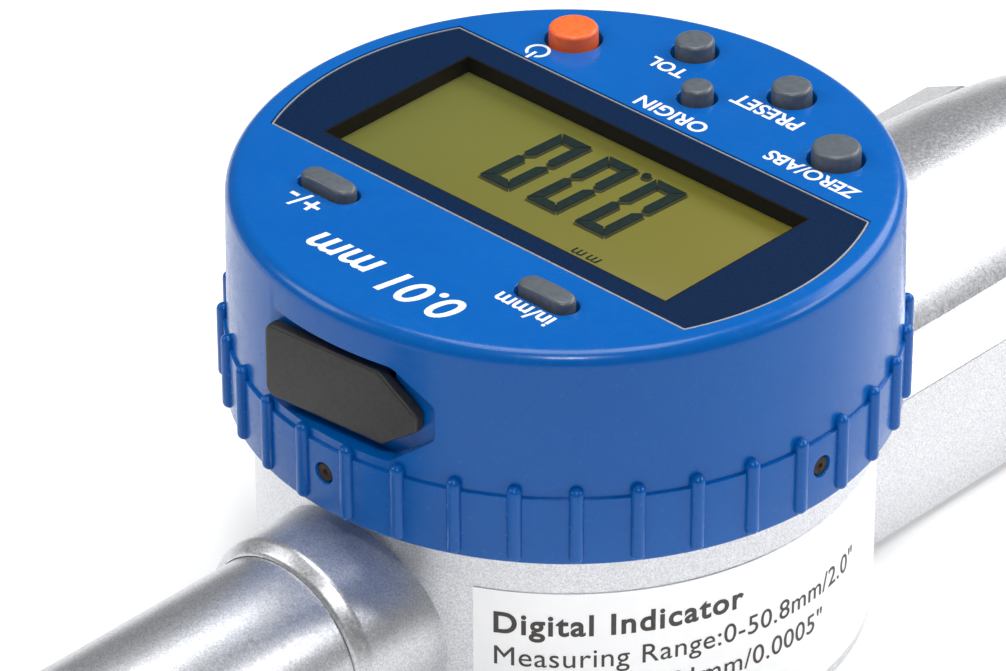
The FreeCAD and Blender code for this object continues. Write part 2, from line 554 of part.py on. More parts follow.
def head_inside():
    board = cylinder("DisplayDisc", "board_r", "board_thick", 0, 0, "board_low")
    base_disc = cylinder("BaseDisc", "board_r+0.2", "base_top-base_low", 0, 0, "base_low")
    pillars, board_holes, base_holes, screws = [], [], [], []
    for i, degrees in enumerate(HEAD_POSTS):
        x, y = around("post_ring", degrees)
        pillars.append(cylinder(f"Pillar{i}", "post_r", "board_low-base_top+0.5", x, y, "base_top-0.5"))
        board_holes.append(cylinder(f"BoardHole{i}", 0.9, 4, x, y, "board_low-1"))
        base_holes.append(cylinder(f"PillarHole{i}", 0.9, 12, x, y, "base_low-1"))
        base_holes.append(cylinder(f"PillarSink{i}", 1.6, 2.0, x, y, "base_low-1"))
        screws.append(fuse(f"HeadScrew{i}", cylinder(f"HeadScrewHead{i}", 1.4, 0.9, x, y, "base_low+0.1"),
                           cylinder(f"HeadScrewShank{i}", 0.8, 8.8, x, y, "base_low+0.9")))
    track = cut("StopTrack", cylinder("TrackOut", 22, "1.7", 0, 0, "base_low-0.3", "Z", 278, -49),
                cylinder("TrackIn", 19.4, 5, 0, 0, "base_low-1"))
    base_holes += [track, cylinder("BaseDoor", 5, 4, 0, 0, "base_low-1")]
    part("display_board", cut("DisplayBoard", board, *board_holes))
    part("head_base", cut("HeadBase", fuse("BaseSolid", base_disc, *pillars), *base_holes))
    part("head_screws", group("HeadScrews", screws))
    part("display_chips", group("DisplayChips", [
        block("ChipLarge", (-15, -7), (-5, 3), ("board_low-1.6", "board_low")),
        block("ChipSmall", (8, 12), (-4, 0), ("board_low-1.0", "board_low")),
        cylinder("Crystal", 0.8, 4.5, 8, 6, "board_low-0.8", "X"),
    ]))
    socket = block("SocketBlock", (-3.8, 6.0), (19.5, 25.2), ("board_low+board_thick", 38.2))
    mouth = block("SocketMouth", (-3.2, 5.4), (21, 30), (35.2, 37.9))
    part("data_port_socket", at_port(cut("PortSocket", socket, mouth)))


def data_port_plug():
    leaf = padded("PlugLeaf", "XZ_Plane", [
        (9.5, 38.4), (9.5, 31.2), (-3.3, 31.2), (-7.1, 33.9), (-7.1, 35.5), (-3.0, 38.4),
    ], "plug_face-plug_flat", y="plug_face")
    tongue = block("PlugTongue", (-3.0, 5.2), (23.2, "plug_flat"), (35.4, 37.7))
    part("data_port_plug", at_port(fuse("DataPortPlug", leaf, tongue)))


body_casting()
rear_cover()
case_label()
stem_and_tube()
return_spring()
reader()
battery()
carriage()
head_shell()
retaining_screws()
window()
head_inside()
buttons()
data_port_plug()
doc.recompute()

faults = [obj.Name for obj in doc.Objects if {"Invalid", "Error"} & set(obj.State)]
faults += [node for node, obj in parts.items() if obj.Shape.isNull() or not obj.Shape.isValid()]
if faults:
    raise RuntimeError("not built: " + ", ".join(faults))
os.makedirs("parts", exist_ok=True)
for node, obj in parts.items():
    obj.Shape.exportStep(f"parts/{node}.step")
    print(f"{node:24} {len(obj.Shape.Solids):3} solids {obj.Shape.Volume:10.2f} mm3")
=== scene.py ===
import json
import math

import bpy
from mathutils import Euler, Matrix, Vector


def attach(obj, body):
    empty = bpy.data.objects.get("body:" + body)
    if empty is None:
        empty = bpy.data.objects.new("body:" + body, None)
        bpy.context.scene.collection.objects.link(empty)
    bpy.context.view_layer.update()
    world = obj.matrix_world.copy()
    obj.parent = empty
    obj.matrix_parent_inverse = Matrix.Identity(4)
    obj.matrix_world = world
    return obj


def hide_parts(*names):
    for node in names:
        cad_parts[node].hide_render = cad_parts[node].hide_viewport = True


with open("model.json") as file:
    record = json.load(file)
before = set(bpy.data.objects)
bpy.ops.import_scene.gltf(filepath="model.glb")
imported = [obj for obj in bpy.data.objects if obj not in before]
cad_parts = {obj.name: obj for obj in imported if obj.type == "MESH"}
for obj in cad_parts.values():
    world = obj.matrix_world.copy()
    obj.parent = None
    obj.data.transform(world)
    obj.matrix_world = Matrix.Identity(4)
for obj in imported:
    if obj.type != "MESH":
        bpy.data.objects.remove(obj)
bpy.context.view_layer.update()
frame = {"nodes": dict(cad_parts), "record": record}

MM = 0.001
QUARTER = math.pi / 2

# Heights and radii of the instrument, in millimetres, as the frame has them.
AXIS_Z = 10.3
AXIS_AT = (0, 0, AXIS_Z)
HEAD_TOP = 43.0
HEAD_LOW = 22.35
SCREW_AT = (0, 0, 26.2)
SCREW_COUNT = 4
LENS_TOP = 42.95
FILM_TOP = 42.86
LCD_TOP = 41.3
DRUM_R = 27.6
HOUSE_LOW = 1.0
PORT_TURN = math.radians(5)
FACING = {"Z": Euler((0, 0, 0)), "Y": Euler((-QUARTER, 0, 0)), "-Y": Euler((QUARTER, 0, 0))}

# --- working by hand ------------------------------------------------------------------------


def deselect():
    """Object mode, with nothing selected."""
    if bpy.context.object and bpy.context.object.mode != "OBJECT":
        bpy.ops.object.mode_set(mode="OBJECT")
    bpy.ops.object.select_all(action="DESELECT")


def pick(obj):
    deselect()
    obj.select_set(True)
    bpy.context.view_layer.objects.active = obj


def edit(obj, kind="VERT"):
    pick(obj)
    bpy.ops.object.mode_set(mode="EDIT")
    bpy.ops.mesh.select_mode(type=kind)


def done(obj):
    bpy.ops.object.mode_set(mode="OBJECT")
    return obj


def settle(obj, at=(0, 0, 0), facing="Z", turn=0.0):
    """Turns and moves a piece, in mm, and keeps the place in its mesh."""
    pick(obj)
    obj.rotation_euler = FACING[facing]
    bpy.ops.object.transform_apply(location=False, rotation=True, scale=True)
    obj.rotation_euler = (0, 0, turn)
    obj.location = Vector(at) * MM
    bpy.ops.object.transform_apply(location=True, rotation=True, scale=True)
    return obj


def first_point(name, point):
    """One vertex to draw from."""
    deselect()
    bpy.ops.mesh.primitive_plane_add(size=MM)
    obj = bpy.context.object
    obj.name = obj.data.name = name
    edit(obj)
    bpy.ops.mesh.select_all(action="SELECT")
    bpy.ops.mesh.merge(type="CENTER")
    bpy.ops.transform.translate(value=Vector(point) * MM)
    return obj


def draw(name, points):
    """A chain of edges through the points, left in edit mode."""
    obj = first_point(name, points[0])
    for before, after in zip(points, points[1:]):
        step = (Vector(after) - Vector(before)) * MM
        bpy.ops.mesh.extrude_vertices_move(TRANSFORM_OT_translate={"value": step})
    bpy.ops.mesh.select_all(action="SELECT")
    return obj


def arcs(corners, closed=False, steps=6):
    """Corners of (x, y) or (x, y, radius), the latter drawn as arcs."""
    points = []
    count = len(corners)
    for i, corner in enumerate(corners):
        radius = corner[2] if len(corner) > 2 else 0
        if not radius or (not closed and i in (0, count - 1)):
            points.append(Vector(corner[:2]))
            continue
        here = Vector(corner[:2])
        back = (Vector(corners[i - 1][:2]) - here).normalized()
        ahead = (Vector(corners[(i + 1) % count][:2]) - here).normalized()
        half = back.angle(ahead) / 2
        middle = here + (back + ahead).normalized() * (radius / math.sin(half))
        start = here + back * (radius / math.tan(half)) - middle
        end = here + ahead * (radius / math.tan(half)) - middle
        sweep = start.angle_signed(end)
        for k in range(steps + 1):
            angle = -sweep * k / steps
            turned_by = Vector((start.x * math.cos(angle) - start.y * math.sin(angle),
                                start.x * math.sin(angle) + start.y * math.cos(angle)))
            points.append(middle + turned_by)
    return points


def turned(name, profile, at=(0, 0, 0), facing="Z", sides=96, ring=False):
    """A lathe-turned piece from (radius, height) corners."""
    outline = [(p.x, 0, p.y) for p in arcs(profile, closed=ring)]
    if ring:
        outline.append(outline[0])
    obj = draw(name, outline)
    bpy.ops.mesh.spin(steps=sides, angle=2 * math.pi, center=(0, 0, 0), axis=(0, 0, 1))
    bpy.ops.mesh.select_all(action="SELECT")
    bpy.ops.mesh.remove_doubles(threshold=0.002 * MM)
    bpy.ops.mesh.normals_make_consistent(inside=False)
    done(obj)
    return settle(obj, at, facing)


def plate(name, corners, low, high, bevel=0.0, steps=3, facing="Z", turn=0.0):
    """A flat piece with an outline of (x, y) corners between two heights, its rims bevelled."""
    outline = [(p.x, p.y, low) for p in arcs(corners, closed=True)]
    obj = draw(name, outline)
    bpy.ops.mesh.edge_face_add()
    bpy.ops.mesh.extrude_region_move(TRANSFORM_OT_translate={"value": (0, 0, (high - low) * MM)})
    bpy.ops.mesh.select_all(action="SELECT")
    bpy.ops.mesh.normals_make_consistent(inside=False)
    done(obj)
    if bevel:
        soften(obj, bevel, steps)
    return settle(obj, facing=facing, turn=turn)


def box(name, x, y, z, bevel=0.0, steps=3, turn=0.0):
    corners = [(x[0], y[0]), (x[1], y[0]), (x[1], y[1]), (x[0], y[1])]
    return plate(name, corners, z[0], z[1], bevel, steps, turn=turn)


def finish_modifier(obj, modifier):
    pick(obj)
    bpy.ops.object.modifier_apply(modifier=modifier.name)
    return obj


def soften(obj, width, segments=3, angle=35):
    """Rounds the edges that bend more than an angle, in degrees."""
    modifier = obj.modifiers.new("Rims", "BEVEL")
    modifier.width = width * MM
    modifier.segments = segments
    modifier.limit_method = "ANGLE"
    modifier.angle_limit = math.radians(angle)
    return finish_modifier(obj, modifier)


def combine(obj, tool, operation="DIFFERENCE"):
    """Cuts a piece with a tool, or adds the tool to it, and uses the tool up."""
    modifier = obj.modifiers.new("Cut", "BOOLEAN")
    modifier.operation = operation
    modifier.object = tool
    modifier.solver = "EXACT"
    finish_modifier(obj, modifier)
    bpy.data.objects.remove(tool)
    return obj


def merge(obj, nearer=0.003):
    """Joins points that a cut has left side by side."""
    edit(obj)
    bpy.ops.mesh.select_all(action="SELECT")
    bpy.ops.mesh.remove_doubles(threshold=nearer * MM)
    bpy.ops.mesh.dissolve_degenerate(threshold=nearer * MM)
    bpy.ops.mesh.select_all(action="SELECT")
    bpy.ops.mesh.fill_holes(sides=8)
    bpy.ops.mesh.select_all(action="SELECT")
    bpy.ops.mesh.normals_make_consistent(inside=False)
    done(obj)


def pick_faces(obj, wanted):
    """Opens a piece in edit mode with just the wanted faces selected."""
    edit(obj, "FACE")
    bpy.ops.mesh.select_all(action="DESELECT")
    done(obj)
    for face in obj.data.polygons:
        face.select = wanted(face)
    bpy.ops.object.mode_set(mode="EDIT")


def join(name, pieces):
    deselect()
    for piece in pieces:
        piece.select_set(True)
    bpy.context.view_layer.objects.active = pieces[0]
    if len(pieces) > 1:
        bpy.ops.object.join()
    pieces[0].name = pieces[0].data.name = name
    return pieces[0]


def copy(obj, turn):
    """A copy with its own mesh, turned about the head's axis."""
    twin = obj.copy()
    twin.data = obj.data.copy()
    bpy.context.collection.objects.link(twin)
    return settle(twin, turn=turn)


PRINT_RISE = 0.01


def lettering(name, words, size, at, bold=0.0, align="CENTER", slant=0.0, spacing=1.0):
    """Raised print lying flat, as a mesh; sizes in mm."""
    deselect()
    bpy.ops.object.text_add()
    obj = bpy.context.object
    obj.name = name
    obj.data.body = words
    obj.data.size = size * MM
    obj.data.extrude = PRINT_RISE * MM
    obj.data.offset = bold * MM
    obj.data.align_x = align
    obj.data.align_y = "CENTER"
    obj.data.shear = slant
    obj.data.space_character = spacing
    obj.data.resolution_u = 6
    bpy.ops.object.convert(target="MESH")
    obj = bpy.context.object
    obj.name = obj.data.name = name
    edit(obj)
    bpy.ops.mesh.select_all(action="SELECT")
    bpy.ops.mesh.remove_doubles(threshold=0.0004 * MM)
    done(obj)
    return settle(obj, at)


# --- finishes -------------------------------------------------------------------------------


def finish(name, color, roughness=0.5, metallic=0.0, **sockets):
    """A Principled material with its constants on the shader's own sockets."""
    material = bpy.data.materials.new(name)
    material.use_nodes = True
    shader = material.node_tree.nodes["Principled BSDF"]
    shader.inputs["Base Color"].default_value = (*color, 1)
    shader.inputs["Roughness"].default_value = roughness
    shader.inputs["Metallic"].default_value = metallic
    for socket, value in sockets.items():
        shader.inputs[socket.replace("_", " ")].default_value = value
    return material


def grain(material, kind, scale, socket=None, low=0.0, high=1.0, bump=0.0, detail=4.0,
          stretch=(1, 1, 1), colors=None, spread=(0.35, 0.65), depth=0.02):
    """Adds a pattern in the piece's own coordinates that drives a socket, a colour or a bump."""
    nodes = material.node_tree.nodes
    links = material.node_tree.links
    shader = nodes["Principled BSDF"]
    place = nodes.new("ShaderNodeTexCoord")
    mapping = nodes.new("ShaderNodeMapping")
    mapping.inputs["Scale"].default_value = stretch
    links.new(place.outputs["Object"], mapping.inputs["Vector"])
    if kind == "cells":
        texture = nodes.new("ShaderNodeTexVoronoi")
        out = texture.outputs["Color"]
    else:
        texture = nodes.new("ShaderNodeTexNoise")
        texture.inputs["Detail"].default_value = detail
        out = texture.outputs["Fac"]
    texture.inputs["Scale"].default_value = scale
    links.new(mapping.outputs["Vector"], texture.inputs["Vector"])
    if kind == "cells":
        split = nodes.new("ShaderNodeSeparateColor")
        links.new(out, split.inputs["Color"])
        out = split.outputs["Red"]
    if socket:
        span = nodes.new("ShaderNodeMapRange")
        span.inputs["From Min"].default_value = spread[0]
        span.inputs["From Max"].default_value = spread[1]
        span.inputs["To Min"].default_value = low
        span.inputs["To Max"].default_value = high
        links.new(out, span.inputs["Value"])
        links.new(span.outputs["Result"], shader.inputs[socket])
    if colors:
        ramp = nodes.new("ShaderNodeValToRGB")
        ramp.color_ramp.elements[0].position = spread[0]
        ramp.color_ramp.elements[1].position = spread[1]
        ramp.color_ramp.elements[0].color = (*colors[0], 1)
        ramp.color_ramp.elements[1].color = (*colors[1], 1)
        links.new(out, ramp.inputs["Fac"])
        links.new(ramp.outputs["Color"], shader.inputs["Base Color"])
    if bump:
        raised = nodes.new("ShaderNodeBump")
        raised.inputs["Strength"].default_value = bump
        raised.inputs["Distance"].default_value = depth * MM
        links.new(out, raised.inputs["Height"])
        if shader.inputs["Normal"].is_linked:
            links.new(shader.inputs["Normal"].links[0].from_node.outputs["Normal"],
                      raised.inputs["Normal"])
        links.new(raised.outputs["Normal"], shader.inputs["Normal"])
    return material


def head_plastic():
    """Glossy moulded plastic: a faint orange peel, and roughness that wanders a little."""
    material = finish("head_plastic", (0.0, 0.118, 0.47), 0.24,
                      Specular_IOR_Level=0.26, Coat_Weight=0.12, Coat_Roughness=0.08)
    grain(material, "noise", 900, "Roughness", 0.2, 0.28, detail=3)
    grain(material, "noise", 2500, bump=0.05, depth=0.01)
    grain(material, "noise", 60, colors=((0.0, 0.104, 0.42), (0.0, 0.116, 0.455)), spread=(0.3, 0.7))
    return material


def silver_paint(name, dark, light, roughness=(0.3, 0.42), metallic=0.8, flake=9000):
    """Metallic paint: fine bright flakes over a lightly blasted grain."""
    material = finish(name, light, roughness[0], metallic, Coat_Weight=0.12, Coat_Roughness=0.25)
    grain(material, "cells", flake, colors=(dark, light), spread=(0.1, 0.9))
    grain(material, "noise", flake * 0.3, "Roughness", *roughness, detail=5)
    grain(material, "cells", flake * 0.8, bump=0.05, depth=0.01)
    return material


def rubber(name, dark, light, roughness=0.42, scale=1600):
    material = finish(name, dark, roughness, Specular_IOR_Level=0.5)
    grain(material, "noise", scale, colors=(dark, light), spread=(0.3, 0.7), detail=6)
    grain(material, "noise", scale * 2.2, bump=0.3, depth=0.02, detail=6)
    return material


def steel(name, color, roughness, stretch=(1, 1, 1), bump=0.1):
    """Turned or ground metal, with fine marks along the tool's path."""
    material = finish(name, color, roughness, 1.0)
    grain(material, "noise", 2000, "Roughness", roughness * 0.75, roughness * 1.35, stretch=stretch)
    grain(material, "noise", 3000, bump=bump, depth=0.01, stretch=stretch)
    return material


def plain_plastic(name, color, roughness=0.45, light=1.25, scale=1200):
    material = finish(name, color, roughness)
    brighter = tuple(min(c * light, 1) for c in color)
    grain(material, "noise", scale, colors=(color, brighter), spread=(0.3, 0.7))
    grain(material, "noise", scale * 2, bump=0.12, depth=0.015)
    return material


def window_clear():
    """Clear acrylic: seen straight through, with a faint even sheen."""
    material = finish("lens_clear", (0.02, 0.03, 0.04), 0.04, Alpha=0.025)
    grain(material, "noise", 400, "Roughness", 0.03, 0.06)
    return material


def lcd_olive():
    """The display's reflector: olive, a little warmer to one side, with a fine dusty texture."""
    material = finish("lcd_glass", (0.175, 0.17, 0.03), 0.35, Specular_IOR_Level=0.35)
    nodes = material.node_tree.nodes
    links = material.node_tree.links
    place = nodes.new("ShaderNodeTexCoord")
    axis = nodes.new("ShaderNodeSeparateXYZ")
    links.new(place.outputs["Object"], axis.inputs["Vector"])
    half_wide = 20 * MM
    span = nodes.new("ShaderNodeMapRange")
    span.inputs["From Min"].default_value = -half_wide
    span.inputs["From Max"].default_value = half_wide
    links.new(axis.outputs["X"], span.inputs["Value"])
    ramp = nodes.new("ShaderNodeValToRGB")
    ramp.color_ramp.elements[0].color = (0.19, 0.17, 0.02, 1)
    ramp.color_ramp.elements[1].color = (0.175, 0.18, 0.04, 1)
    links.new(span.outputs["Result"], ramp.inputs["Fac"])
    links.new(ramp.outputs["Color"], nodes["Principled BSDF"].inputs["Base Color"])
    grain(material, "noise", 6000, bump=0.08, depth=0.01)
    return material


def label_foil():
    """White print on foil: paper white that still takes a sheen from the metal below."""
    material = finish("label_paper", (0.93, 0.93, 0.93), 0.4, 0.6)
    grain(material, "noise", 900, "Roughness", 0.36, 0.44)
    return material


FINISHES = {
    "head_plastic": head_plastic(),
    "silver_casting": silver_paint("silver_casting", (0.56, 0.57, 0.595), (0.8, 0.81, 0.83)),
    "tube_metal": silver_paint("tube_metal", (0.58, 0.59, 0.62), (0.86, 0.87, 0.9), (0.32, 0.4), 0.85),
    "cover_plate": silver_paint("cover_plate", (0.5, 0.51, 0.52), (0.7, 0.71, 0.72), (0.36, 0.48)),
    "ground_steel": steel("ground_steel", (0.62, 0.62, 0.61), 0.2, (60, 1, 60)),
    "dark_steel": steel("dark_steel", (0.045, 0.034, 0.028), 0.5),
    "carbide": steel("carbide", (0.42, 0.42, 0.43), 0.12, bump=0.03),
    "cell_metal": steel("cell_metal", (0.7, 0.7, 0.69), 0.18, (1, 40, 1)),
    "bush_brass": steel("bush_brass", (0.72, 0.5, 0.2), 0.28),
    "lens_clear": window_clear(),
    "navy_print": plain_plastic("navy_print", (0.001, 0.012, 0.045), 0.45, 1.6, 3500),
    "black_plastic": plain_plastic("black_plastic", (0.014, 0.013, 0.012), 0.5),
    "lcd_glass": lcd_olive(),
    "board_green": plain_plastic("board_green", (0.012, 0.1, 0.03), 0.35, 1.4, 500),
    "grey_rubber": rubber("grey_rubber", (0.085, 0.1, 0.12), (0.115, 0.13, 0.15), 0.36),
    "orange_rubber": rubber("orange_rubber", (1.0, 0.13, 0.02), (1.0, 0.17, 0.04), 0.38),
    "black_rubber": rubber("black_rubber", (0.016, 0.015, 0.014), (0.03, 0.028, 0.026), 0.5, 2200),
    "label_paper": label_foil(),
    "felt": rubber("felt", (0.07, 0.07, 0.07), (0.14, 0.14, 0.14), 0.95, 900),
    "polyimide": plain_plastic("polyimide", (0.5, 0.2, 0.03), 0.35, 1.3, 400),
    "scale_glass": plain_plastic("scale_glass", (0.32, 0.25, 0.1), 0.3, 1.3, 700),
}
PRINT_WHITE = plain_plastic("legend_white", (0.86, 0.87, 0.88), 0.45, 1.04, 2000)
PRINT_DARK = plain_plastic("label_ink", (0.05, 0.042, 0.038), 0.5, 1.3, 2000)
SEGMENT_DARK = plain_plastic("segment_dark", (0.012, 0.022, 0.02), 0.3, 1.5, 2500)
# A pale grey for the window's rim: a painted highlight where light catches the acrylic's edge.
EDGE_PAINTED_HIGHLIGHT = plain_plastic("window_edge_painted_highlight", (0.3, 0.3, 0.32), 0.3, 1.2, 2500)
# Near-black brown for the well's lining: the holder's black plastic, made browner and darker as painted
# shade round the display's edge.
WELL_PAINTED_SHADE = plain_plastic("well_painted_shade", (0.012, 0.009, 0.005), 0.35, 1.5, 2500)

# Surfaces under the window keep only a faint shine.
for dull in (FINISHES["navy_print"], SEGMENT_DARK, WELL_PAINTED_SHADE):
    dull.node_tree.nodes["Principled BSDF"].inputs["Specular IOR Level"].default_value = 0.1


def segment_shade():
    """The soft shadow that the display's segments cast on its reflector."""
    material = finish("segment_shade", (0.02, 0.025, 0.01), 0.8, Alpha=0.42)
    grain(material, "noise", 3000, bump=0.05)
    return material


SEGMENT_SHADE = segment_shade()


def coat(obj, material):
    obj.data.materials.clear()
    obj.data.materials.append(material)
    return obj


def fit(obj, body, slot, material=None, replaces=(), angle=32):
    """Shades a finished piece, gives it its finish and hangs it on its body."""
    coat(obj, material or FINISHES[slot])
    pick(obj)
    bpy.ops.object.shade_smooth_by_angle(angle=math.radians(angle))
    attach(obj, body)
    if replaces:
        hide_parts(*replaces)
    return obj


# --- the display head -----------------------------------------------------------------------

ROUND_KEYS = {"power": (15.5, -17.45, 2.3), "tol": (6.05, -23.2, 1.85), "origin": (0.4, -17.3, 1.5),
              "preset": (-5.6, -23.1, 1.88), "zero": (-15.35, -17.9, 2.25)}
LONG_KEYS = {"plus_minus": (13.05, 15.95), "unit": (-12.8, 15.95)}
LONG_HALF, LONG_R = 1.85, 1.1
ROUND_RISE, LONG_RISE = 1.3, 1.0
KEY_GAP = 0.3
# Inside the head a key has a flange, and a foot that reaches down to its switch.
FLANGE_TOP, FLANGE_LOW, FLANGE_MORE = 40.75, 39.95, 0.5
FOOT_R, FOOT_LOW = 1.1, 38.6
LENS_R, LENS_HIGH, LENS_BACK = 27.1, 11.7, -11.9
SIGHT_X, SIGHT_HIGH, SIGHT_BACK = 20.15, 9.3, -8.7


def stadium(half, radius, steps=12):
    """The outline of a long key: two half circles joined along X."""
    points = []
    for side, start in ((1, -QUARTER), (-1, QUARTER)):
        for k in range(steps + 1):
            angle = start + math.pi * k / steps
            points.append((side * half + radius * math.cos(angle), radius * math.sin(angle)))
    return points


def lens_outline(grow=0.0, steps=24):
    """A circle cut by two lines, which is the shape of the window."""
    radius = LENS_R + grow
    high, back = LENS_HIGH + grow, LENS_BACK - grow
    points = []
    for start, end in ((math.asin(back / radius), math.asin(high / radius)),
                       (math.pi - math.asin(high / radius), math.pi - math.asin(back / radius))):
        for k in range(steps + 1):
            angle = start + (end - start) * k / steps
            points.append((radius * math.cos(angle), radius * math.sin(angle)))
    return points


# A broken rim, as steps of (how far the hole widens, depth under the face).
FLARE = ((0.0, 0.26), (0.03, 0.13), (0.11, 0.04), (0.26, 0.0), (0.29, -0.3))


def flared_hole(name, x, y, radius, half=0.0):
    """A cutter for a key's hole, with a rounded rim at the face."""
    if not half:
        profile = [(0, 38), (radius, 38)]
        profile += [(radius + wide, HEAD_TOP - deep) for wide, deep in FLARE]
        return turned(name, profile + [(0, HEAD_TOP + 0.3)], at=(x, y, 0), sides=64)
    tool = plate(name, stadium(half, radius), 38.0, HEAD_TOP - FLARE[0][1])
    for before, after in zip(FLARE, FLARE[1:]):
        pick_faces(tool, lambda face: face.normal.z > 0.9)
        bpy.ops.mesh.extrude_region_move(
            TRANSFORM_OT_translate={"value": (0, 0, (before[1] - after[1]) * MM)})
        across = (radius + after[0]) / (radius + before[0])
        along = (half + radius + after[0]) / (half + radius + before[0])
        bpy.ops.transform.resize(value=(along, across, 1), center_override=(0, 0, 0))
        done(tool)
    return settle(tool, (x, y, 0))


PORT_OUTLINE = [(9.5, 38.4, 0.9), (9.5, 31.2, 0.9), (-3.3, 31.2, 0.8), (-7.1, 33.9, 0.7),
                (-7.1, 35.5, 0.7), (-3.0, 38.4, 0.8)]
PORT_RECESS = [(14, 39.3), (14, 30.1), (-4, 30.1, 1.2), (-8.4, 33.3, 1.2), (-8.4, 36.6, 1.2),
               (-4.3, 39.3, 1.2)]
RECESS_FLAT, LEAF_FACE = 28.0, 29.3


def port_prism(name, outline, near, far, grow=0.0):
    """A prism on the port's flat, between two distances from the head's axis."""
    tool = draw(name, [(p.x, -near, p.y) for p in arcs(outline, closed=True)])
    bpy.ops.mesh.edge_face_add()
    bpy.ops.mesh.extrude_region_move(TRANSFORM_OT_translate={"value": (0, -(far - near) * MM, 0)})
    if grow:
        bpy.ops.transform.resize(value=(1 + grow, 1, 1 + grow))
    bpy.ops.mesh.select_all(action="SELECT")
    bpy.ops.transform.mirror(constraint_axis=(False, True, False), center_override=(0, 0, 0))
    bpy.ops.mesh.normals_make_consistent(inside=False)
    done(tool)
    return settle(tool, turn=PORT_TURN)


def head_shell():
    """The head's moulded shell, with its window seat, key holes, port recess and screw holes."""
    shell = turned("head_shell_skin", [
        (0, HEAD_TOP), (29.55, HEAD_TOP, 1.35), (29.72, 29.0), (30.0, 28.95, 0.05), (30.0, HEAD_LOW, 0.3),
        (26.6, HEAD_LOW), (26.6, 40.8), (0, 40.8),
    ], sides=192)
    combine(shell, plate("seat_tool", lens_outline(0.13), 42.05, 50))
    combine(shell, box("sight_tool", (-SIGHT_X - 0.4, SIGHT_X + 0.4), (SIGHT_BACK - 0.4, SIGHT_HIGH + 0.4),
                       (35, 50)))
    for key, (x, y, radius) in ROUND_KEYS.items():
        combine(shell, flared_hole(key + "_tool", x, y, radius + KEY_GAP))
    for key, (x, y) in LONG_KEYS.items():
        combine(shell, flared_hole(key + "_tool", x, y, LONG_R + KEY_GAP, LONG_HALF))
    combine(shell, port_prism("recess_tool", PORT_RECESS, RECESS_FLAT, 34.0, 0.12))
    combine(shell, box("port_hole_tool", (-4, 6.2), (20, 30), (34.8, 38.2), turn=PORT_TURN))
    for i in range(SCREW_COUNT):
        combine(shell, screw_hole(i))
    return fit(shell, "display_head", "head_plastic", replaces=["head_shell"], angle=28)


def screw_hole(index):
    hole = turned(f"screw_hole_{index}", [(0, 25), (0.95, 25), (0.95, 29.75), (1.25, 30.4), (0, 30.4)],
                  facing="Y", sides=32)
    return settle(hole, SCREW_AT, turn=QUARTER * index)


def retaining_screws():
    """Blackened set screws with a centre dimple, just under the band's surface."""
    screws = []
    for i in range(SCREW_COUNT):
        screw = turned(f"set_screw_{i}", [(0, 25.4), (0.9, 25.4), (0.9, 29.84, 0.12), (0.3, 29.84),
                                          (0.12, 29.6), (0, 29.6)], facing="Y", sides=32)
        screws.append(settle(screw, SCREW_AT, turn=QUARTER * i))
    return fit(join("set_screws", screws), "display_head", "dark_steel", replaces=["retaining_screws"])


def grip_ribs():
    """Thirty-six rounded ribs round the lower band."""
    count = 36
    low, high, radius = 22.65, 30.1, 0.66
    rib = turned("rib", [(0, low), (radius, low, 0.6), (radius, high, 0.6), (0, high)],
                 at=(29.95, 0, 0), sides=20)
    ribs = [copy(rib, math.radians(5 + 360 * i / count)) for i in range(count)]
    bpy.data.objects.remove(rib)
    return fit(join("grip_ribs", ribs), "display_head", "head_plastic", angle=60)


def window():
    """Clear acrylic in its seat, with a navy border printed under it and a pale grey rim, a painted
    highlight on the acrylic's edge.
    """
    pane = plate("window_pane", lens_outline(-0.15), FILM_TOP + 0.01, LENS_TOP)
    fit(pane, "display_head", "lens_clear", replaces=["window_lens"])
    border = plate("window_border", lens_outline(-0.02), 42.1, FILM_TOP)
    more = 0.15
    combine(border, box("border_tool", (-SIGHT_X - more, SIGHT_X + more),
                        (SIGHT_BACK - more, SIGHT_HIGH + more), (30, 50)))
    fit(border, "display_head", "navy_print", replaces=["window_mask"])
    # The ring round the pane is coloured pale grey as a painted highlight.
    edge = plate("window_edge_painted_highlight", lens_outline(), 42.2, LENS_TOP, 0.05, 2)
    combine(edge, plate("edge_tool", lens_outline(-0.16), 30, 50))
    fit(edge, "display_head", "lens_clear", EDGE_PAINTED_HIGHLIGHT)


def display():
    """The display's face, seen raised through the window, in a well lined with near-black brown plastic,
    its darkness partly painted shade at the display's edge.
    """
    face = box("lcd_face", (-20.45, 20.45), (SIGHT_BACK - 0.3, SIGHT_HIGH + 0.3),
               (LCD_TOP - 0.5, LCD_TOP), 0.08, 2)
    body = box("lcd_body", (-21.6, 21.6), (-10.6, 11.2), (39.1, 40.7), 0.15, 2)
    fit(join("lcd_face", [face, body]), "display_head", "lcd_glass", replaces=["lcd_panel"])
    # The well's thin walls cover the shell's blue cut with near-black brown, a painted shade along the
    # display's edge.
    wall = 0.14
    well = box("lcd_well", (-SIGHT_X - wall, SIGHT_X + wall), (SIGHT_BACK - wall, SIGHT_HIGH + wall),
               (LCD_TOP + 0.01, FILM_TOP - 0.02))
    combine(well, box("well_tool", (-SIGHT_X, SIGHT_X), (SIGHT_BACK, SIGHT_HIGH), (30, 50)))
    holder = box("lcd_frame_ring", (-22.4, 22.4), (-11.2, 11.8), (34.6, 40.75), 0.2)
    combine(holder, box("ring_tool", (-21.7, 21.7), (-10.7, 11.3), (30, 50)))
    fit(join("lcd_holder", [well, holder]), "display_head", "black_plastic", WELL_PAINTED_SHADE, ["lcd_frame"])


DIGIT_CENTRES = (-6.2, -0.5, 5.1)
DIGIT_Y, DIGIT_TALL, DIGIT_WIDE, SEGMENT_THICK = -1.58, 10.05, 3.6, 1.05
DIGIT_SLANT = 0.05
POINT_AT, POINT_R = (-3.6, -6.4), 0.42
INK_RISE = 0.02
FLAT_SIDES = ((1, 1), (1, -1))
TALL_SIDES = ((1, 1), (1, -1), (-1, 1), (-1, -1))


